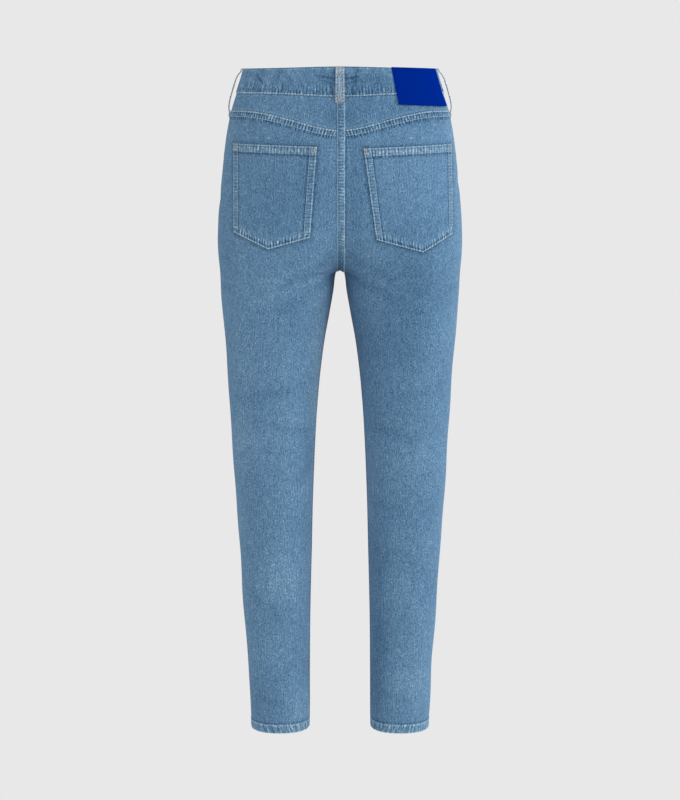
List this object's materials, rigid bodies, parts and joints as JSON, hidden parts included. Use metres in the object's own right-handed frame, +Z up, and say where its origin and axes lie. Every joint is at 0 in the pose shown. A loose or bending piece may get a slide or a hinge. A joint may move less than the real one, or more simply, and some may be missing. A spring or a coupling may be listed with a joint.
{
  "type": "pair of mom jeans, filled out as if worn",
  "caption": "High-waisted tapered denim jeans with a yoked back, patch pockets, curved hip pockets, belt loops and a plain cloth patch on the waistband, open at the waist and hems.",
  "frame": {"origin": "middle of the waist, halfway down the waistband, where the wearer's waist holds the jeans up", "axes": "+Z up out of the waist, -Y the front, +X the wearer's left"},
  "size_m": [0.365, 0.2373, 1.0004],
  "materials": {
    "denim": "mid blue washed cotton twill",
    "denim_loop": "paler washed cotton twill, folded",
    "woven_patch": "plain cobalt blue woven patch, bare",
    "button_metal": "aged nickel"
  },
  "bodies": {
    "root": {"waistband": "denim", "yoke_left": "denim", "yoke_right": "denim", "back_left": "denim", "back_right": "denim", "front_left": "denim", "front_right": "denim", "hip_pocket_left": "denim", "hip_pocket_right": "denim", "back_pocket_left": "denim", "back_pocket_right": "denim", "loop_back": "denim_loop", "loop_side_left": "denim_loop", "loop_side_right": "denim_loop", "loop_front_left": "denim_loop", "loop_front_right": "denim_loop", "patch": "woven_patch", "button": "button_metal"}
  },
  "joints": []
}
